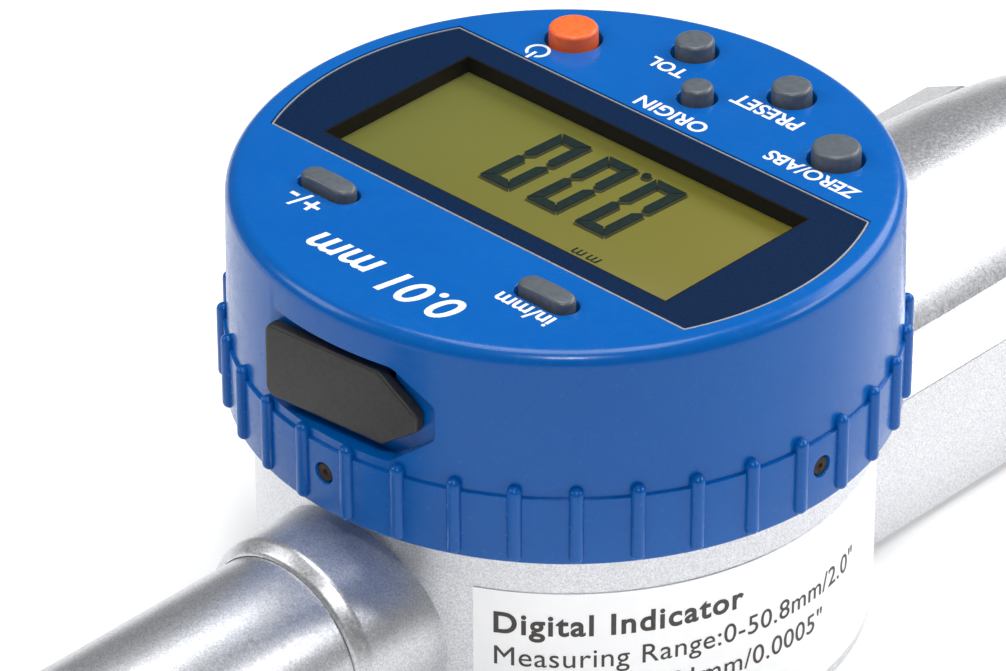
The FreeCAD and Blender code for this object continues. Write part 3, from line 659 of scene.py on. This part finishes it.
def segments(name, height, shift=(0.0, 0.0), grow=0.0):
    """Three zeros in seven-segment style: six bars each, mitred where they meet."""
    bars = []
    half_w, half_t, thick, gap = DIGIT_WIDE / 2, DIGIT_TALL / 2, SEGMENT_THICK, 0.09 - grow
    flat = [(-half_w + gap, half_t + grow), (half_w - gap, half_t + grow),
            (half_w - thick - gap, half_t - thick - grow), (-half_w + thick + gap, half_t - thick - grow)]
    tall = [(-half_w - grow, half_t - gap), (-half_w + thick + grow, half_t - thick - gap),
            (-half_w + thick + grow, thick * 0.62 + gap), (-half_w + thick * 0.45, gap * 1.6),
            (-half_w - grow, thick * 0.3 + gap)]
    for centre in DIGIT_CENTRES:
        for shape in (flat, tall):
            for side in FLAT_SIDES if shape is flat else TALL_SIDES:
                corners = []
                for x, y in shape:
                    x, y = x * side[0], y * side[1]
                    corners.append((centre + x + y * DIGIT_SLANT + shift[0], DIGIT_Y + y + shift[1]))
                bars.append(plate(f"bar{len(bars)}", corners, height, height + INK_RISE))
    radius, top = POINT_R + grow, height + INK_RISE
    dot = turned("point", [(0, height), (radius, height), (radius, top), (0, top)],
                 at=(POINT_AT[0] + shift[0], POINT_AT[1] + shift[1], 0), sides=24)
    return join(name, bars + [dot])


def readout():
    """The reading, its shadow on the reflector and the unit's sign."""
    fit(segments("lcd_digits", LCD_TOP + 0.05), "display_head", "lcd_glass", SEGMENT_DARK)
    fit(segments("lcd_digit_shades", LCD_TOP + 0.01, (-0.28, 0.34), 0.12), "display_head", "lcd_glass",
        SEGMENT_SHADE)
    unit = lettering("lcd_unit", "mm", 1.9, (-8.8, 6.95, LCD_TOP + 0.03), slant=0.1, spacing=1.25)
    fit(unit, "display_head", "lcd_glass", SEGMENT_DARK)


def key_cap(name, x, y, radius, slot, node):
    """A round rubber key: rounded rim, faintly crowned top, and a flange under the face."""
    top, wide = HEAD_TOP + ROUND_RISE, radius + FLANGE_MORE
    cap = turned(name, [
        (0, top), (radius * 0.5, top - 0.015), (radius - 0.07, top - 0.05, 0.38), (radius, FLANGE_TOP),
        (wide, FLANGE_TOP), (wide, FLANGE_LOW), (FOOT_R, FLANGE_LOW), (FOOT_R, FOOT_LOW), (0, FOOT_LOW),
    ], at=(x, y, 0), sides=72)
    return fit(cap, node.replace("_button", "_key"), slot, replaces=[node], angle=50)


def long_key(name, x, y, node):
    """A long rubber key whose top falls away a little towards its ends."""
    top = HEAD_TOP + LONG_RISE
    cap = plate(name, stadium(LONG_HALF, LONG_R), FLANGE_LOW, top)
    cuts = 8
    edit(cap)
    for i in range(-cuts, cuts + 1):
        bpy.ops.mesh.select_all(action="SELECT")
        bpy.ops.mesh.bisect(plane_co=(LONG_HALF * i / cuts * MM, 0, 0), plane_no=(1, 0, 0))
    done(cap)
    soften(cap, 0.36, 5, 60)
    reach, fall = LONG_HALF + LONG_R, 0.22
    for vertex in cap.data.vertices:
        if vertex.co.z > (HEAD_TOP - 0.2) * MM:
            vertex.co.z -= fall * (vertex.co.x / MM / reach) ** 2 * MM
    foot = turned(name + "_foot", [(0, FOOT_LOW), (FOOT_R, FOOT_LOW), (FOOT_R, 40.1), (0, 40.1)], sides=24)
    collar = plate(name + "_collar", stadium(LONG_HALF, LONG_R + FLANGE_MORE), FLANGE_LOW, FLANGE_TOP)
    whole = settle(join(name, [cap, foot, collar]), (x, y, 0))
    return fit(whole, node.replace("_button", "_key"), "grey_rubber", replaces=[node], angle=50)


def keys():
    for key, (x, y, radius) in ROUND_KEYS.items():
        slot = "orange_rubber" if key == "power" else "grey_rubber"
        key_cap(key + "_cap", x, y, radius, slot, key + "_button")
    for key, (x, y) in LONG_KEYS.items():
        long_key(key + "_cap", x, y, key + "_button")


LEGENDS = {
    "tol": ("TOL", 2.15, (5.85, -19.45)), "origin": ("ORIGIN", 2.35, (0.04, -13.6)),
    "preset": ("PRESET", 2.42, (-5.85, -19.7)), "zero": ("ZERO/ABS", 2.25, (-15.6, -14.4)),
    "sign": ("+/-", 3.4, (12.96, 18.96)), "unit": ("in/mm", 2.55, (-12.6, 18.6)),
}


def legends():
    """White print on the face: a word by each key, the resolution, and the power sign."""
    height = HEAD_TOP + 0.012
    for key, (words, size, (x, y)) in LEGENDS.items():
        print_ = lettering("legend_" + key, words, size, (x, y, height), bold=0.05, spacing=1.0)
        fit(print_, "display_head", "label_paper", PRINT_WHITE)
    resolution = lettering("legend_resolution", "0.01 mm", 5.0, (-0.6, 22.9, height),
                           bold=0.08, slant=0.2)
    fit(resolution, "display_head", "label_paper", PRINT_WHITE)
    top = height + 0.012
    ring = turned("power_mark", [(0.86, HEAD_TOP), (1.16, HEAD_TOP), (1.16, top), (0.86, top)],
                  at=(16.2, -13.55, 0), sides=40, ring=True)
    combine(ring, box("power_gap", (15.75, 16.65), (-13.4, -11), (40, 50)))
    bar = box("power_bar", (16.05, 16.35), (-13.3, -12.0), (HEAD_TOP, top))
    fit(join("legend_power", [ring, bar]), "display_head", "label_paper", PRINT_WHITE)


def port_cover():
    """The data port's rubber plug: a leaf that lies in the recess, and a tongue behind it."""
    leaf = port_prism("port_cover", PORT_OUTLINE, RECESS_FLAT + 0.02, LEAF_FACE)
    soften(leaf, 0.3, 4, 50)
    tongue = box("port_tongue", (-3.0, 5.2), (23.2, 28.1), (35.4, 37.7), 0.25, turn=PORT_TURN)
    return fit(join("port_cover", [leaf, tongue]), "port_plug", "black_rubber", replaces=["data_port_plug"])


# --- the case -------------------------------------------------------------------------------


def round_tool(name, radius, low, high, at=(0, 0, 0), facing="Z", sides=48):
    """A cutter for a bore, between two distances along its axis."""
    return turned(name, [(0, low), (radius, low), (radius, high), (0, high)], at, facing, sides)


def case_casting():
    """The die-cast case: drum and neck, lower housing, barrel and collar, hollow where things move."""
    case = turned("case_casting", [
        (0, 0), (DRUM_R, 0, 0.4), (DRUM_R, 22.0, 0.5), (26.3, 22.0), (26.3, 22.9), (25.0, 22.9),
        (25.0, 24.3), (26.3, 24.3), (26.3, 25.0), (25.0, 25.0), (25.0, 27.4), (26.3, 27.4), (26.3, 28.0),
        (18.0, 28.0), (18.0, 22.0), (0, 22.0),
    ], sides=192)
    house = plate("house", [(-17.5, HOUSE_LOW), (17.5, HOUSE_LOW), (17.5, 15.0), (12.9, 17.0, 1.5),
                            (-12.9, 17.0, 1.5), (-17.5, 15.0)], 1, 70, 0.25, 3, facing="-Y")
    barrel = turned("barrel", [
        (0, 24), (14.3, 24), (14.3, 55), (14.0, 59), (13.6, 63.5), (13.2, 66.5), (12.8, 68.5, 1.5),
        (10.8, 71, 2.0), (8.0, 73), (6.0, 74.5, 0.8), (5.5, 78.0, 0.5), (3.4, 78.0), (3.4, 60), (0, 60),
    ], at=AXIS_AT, facing="-Y", sides=160)
    combine(barrel, box("table_tool", (-30, 30), (-90, 10), (-20, HOUSE_LOW + 0.01)))
    combine(barrel, box("under_head_tool", (-30, 30), (-31.4, 10), (21.9, 60)))
    collar = turned("collar", [
        (0, 22), (10.3, 22), (10.2, 28), (10.12, 34.05, 1.2), (9.35, 35.25, 0.7), (9.12, 35.3),
        (9.12, 27.0), (0, 27.0),
    ], at=AXIS_AT, facing="Y", sides=128)
    combine(collar, box("collar_tool", (-30, 30), (10, 50), (-20, 0.02)))
    for piece in (house, barrel, collar):
        combine(case, piece, "UNION")
    hollows = [
        round_tool("cavity_tool", 24, 1.0, 19.5, sides=96),
        box("chamber_tool", (-12.5, 12.5), (-62, 0), (0.9, 16)),
        round_tool("door_tool", 2.93, 55, 66, AXIS_AT, "-Y", 48),
        round_tool("bore_tool", 3.5, 64, 80, AXIS_AT, "-Y", 48),
        round_tool("tube_tool", 8, 20, 30, AXIS_AT, "Y", 64),
        round_tool("flex_tool", 5, 19, 23, sides=32),
        round_tool("cover_tool", 25.45, -1, 1.4, sides=128),
        box("cover_tail_tool", (-16.25, 16.25), (-66.05, 0), (-1.1, 1.41)),
    ]
    for hollow in hollows:
        combine(case, hollow)
    merge(case)
    return fit(case, "case", "silver_casting", replaces=["body_casting"], angle=30)


def wrap(obj, start, base):
    """Bends flat print round the drum: x runs round it from an angle, y goes up it."""
    for vertex in obj.data.vertices:
        x, y, z = vertex.co / MM
        angle = math.radians(start) + x / DRUM_R
        reach = DRUM_R + z
        vertex.co = Vector((reach * math.cos(angle), reach * math.sin(angle), base + y)) * MM
    return obj


LABEL_WIDE, LABEL_TALL, LABEL_THICK = 53.5, 16.6, 0.12
LABEL_START, LABEL_LOW = 116.8, 1.2
TEXT_START = 120.2
# Each line's words, letter size, height up the drum, extra weight and letter spacing.
LABEL_LINES = (
    ("Digital Indicator", 3.0, 14.4, 0.07, 1.12),
    ("Measuring Range:0-50.8mm/2.0\"", 2.75, 11.0, 0.0, 1.05),
    ("Resolution:0.01mm/0.0005\"", 2.75, 7.6, 0.0, 1.05),
)


def label():
    """A thin printed label bent round the drum."""
    columns = 116
    sheet = box("case_label_sheet", (0, LABEL_WIDE), (0, LABEL_TALL), (0.0, LABEL_THICK))
    edit(sheet)
    for k in range(1, columns):
        bpy.ops.mesh.select_all(action="SELECT")
        bpy.ops.mesh.bisect(plane_co=(LABEL_WIDE * MM * k / columns, 0, 0), plane_no=(1, 0, 0))
    done(sheet)
    wrap(sheet, LABEL_START, LABEL_LOW)
    fit(sheet, "case", "label_paper", replaces=["case_label"])
    for i, (words, size, height, bold, spacing) in enumerate(LABEL_LINES):
        line = lettering(f"label_line_{i + 1}", words, size, (0, 0, LABEL_THICK + 0.02),
                         bold=bold, align="LEFT", spacing=spacing)
        wrap(line, TEXT_START, height)
        fit(line, "case", "label_paper", PRINT_DARK)


def tube():
    """The tube that takes the plunger's travel, and its end cap."""
    body = turned("top_tube_skin", [(8.0, 27.0), (9.0, 27.0), (9.0, 88.0, 0.15), (8.0, 88.0)],
                  at=AXIS_AT, facing="Y", sides=128, ring=True)
    fit(body, "case", "tube_metal", replaces=["top_tube"])
    cap = turned("tube_cap_skin", [
        (0, 83), (8.0, 83), (8.0, 88.02), (8.85, 88.02, 0.15), (9.0, 88.3, 0.15), (9.0, 91.0, 0.9),
        (7.6, 92.0, 0.6), (3.0, 92.0, 0.3), (2.6, 91.6), (0, 91.6),
    ], at=AXIS_AT, facing="Y", sides=128)
    fit(cap, "case", "tube_metal", replaces=["tube_cap"])


def stem():
    """The plain clamping stem."""
    body = turned("stem_skin", [
        (3.0, 64), (3.5, 64), (3.5, 78), (4.0, 78), (4.0, 98.0, 0.4), (3.0, 98.0, 0.15),
    ], at=AXIS_AT, facing="-Y", sides=96, ring=True)
    fit(body, "case", "ground_steel", replaces=["stem"])


# Pieces that show and keep their CAD shape: node, body, slot, and how far an edge may bend and stay smooth.
COPIES = (
    ("spindle", "spindle_set", "ground_steel", 32),
    ("contact_point", "spindle_set", "carbide", 32),
    ("rear_cover", "case", "cover_plate", 10),
    ("battery_cover", "battery_hatch", "cover_plate", 10),
    ("rear_cover_screws", "case", "ground_steel", 10),
)


def smooth_copies():
    """The same shapes again, merged and shaded smooth."""
    for node, body, slot, angle in COPIES:
        twin = frame["nodes"][node].copy()
        twin.data = twin.data.copy()
        bpy.context.collection.objects.link(twin)
        twin.parent = None
        twin.name = twin.data.name = node + "_skin"
        edit(twin)
        bpy.ops.mesh.select_all(action="SELECT")
        bpy.ops.mesh.remove_doubles(threshold=0.001 * MM)
        bpy.ops.mesh.dissolve_limited(angle_limit=math.radians(0.5))
        done(twin)
        fit(twin, body, slot, replaces=[node], angle=angle)


def inner_pieces():
    """Every CAD node gets the finish of its slot."""
    for entry in frame["record"]["subparts"]:
        coat(frame["nodes"][entry["node"]], FINISHES[entry["material_slot"]])


# --- floor, light and camera ----------------------------------------------------------------


LIGHT_AIM = Vector((0, 0, 20))
LIGHTS = {
    "back_light": ((-60, -500, 380), (420, 300), 2.0),
    "top_light": ((80, -80, 620), (330, 330), 2.05),
    "rim_light": ((-235, 245, 530), (100, 100), 1.1),
    "right_light": ((-430, -440, 400), (300, 170), 1.1),
    "left_light": ((430, 330, 430), (260, 260), 1.0),
}


def area_light(name, at, size, power):
    """A soft box aimed at the middle of the instrument; place and size in mm."""
    lamp = bpy.data.lights.new(name, "AREA")
    lamp.shape = "RECTANGLE"
    lamp.size, lamp.size_y = size[0] * MM, size[1] * MM
    lamp.energy = power
    obj = bpy.data.objects.new(name, lamp)
    bpy.context.collection.objects.link(obj)
    obj.location = Vector(at) * MM
    obj.rotation_mode = "QUATERNION"
    obj.rotation_quaternion = (LIGHT_AIM - Vector(at)).to_track_quat("-Z", "Y")


def studio():
    """A pale floor under soft boxes behind, overhead and to both sides, and a small one for the rims."""
    deselect()
    bpy.ops.mesh.primitive_plane_add(size=4.0, location=(0, 0, -0.0001))
    floor = bpy.context.object
    floor.name = "floor"
    white = finish("pale_floor", (0.85, 0.85, 0.85), 0.7,
                   Emission_Color=(1, 1, 1, 1), Emission_Strength=0.22)
    coat(floor, white)
    world = bpy.data.worlds.new("studio")
    bpy.context.scene.world = world
    world.use_nodes = True
    sky = world.node_tree.nodes["Background"]
    sky.inputs["Color"].default_value = (1.0, 1.0, 1.0, 1)
    sky.inputs["Strength"].default_value = 0.12
    for name, (at, size, power) in LIGHTS.items():
        area_light(name, at, size, power)
    bpy.context.scene.view_settings.view_transform = "Standard"


def camera():
    """A long lens from above the tube's side, looking at the head."""
    azimuth, elevation, roll = math.radians(223.80), math.radians(32.52), math.radians(-0.13)
    distance, target = 520.0, Vector((-14.22, 22.77, 43.0))
    flat = math.cos(elevation)
    back = Vector((math.sin(azimuth) * flat, -math.cos(azimuth) * flat, math.sin(elevation)))
    data = bpy.data.cameras.new("view")
    data.sensor_width = 36.0
    data.lens = 224.3
    data.clip_start, data.clip_end = 0.01, 10
    obj = bpy.data.objects.new("view", data)
    bpy.context.collection.objects.link(obj)
    obj.location = (target + back * distance) * MM
    obj.rotation_mode = "QUATERNION"
    level = (-back).to_track_quat("-Z", "Y")
    obj.rotation_quaternion = level @ Euler((0, 0, roll)).to_quaternion()
    bpy.context.scene.camera = obj


inner_pieces()
head_shell()
retaining_screws()
grip_ribs()
window()
display()
readout()
keys()
legends()
port_cover()
case_casting()
label()
tube()
stem()
smooth_copies()
studio()
camera()

deselect()
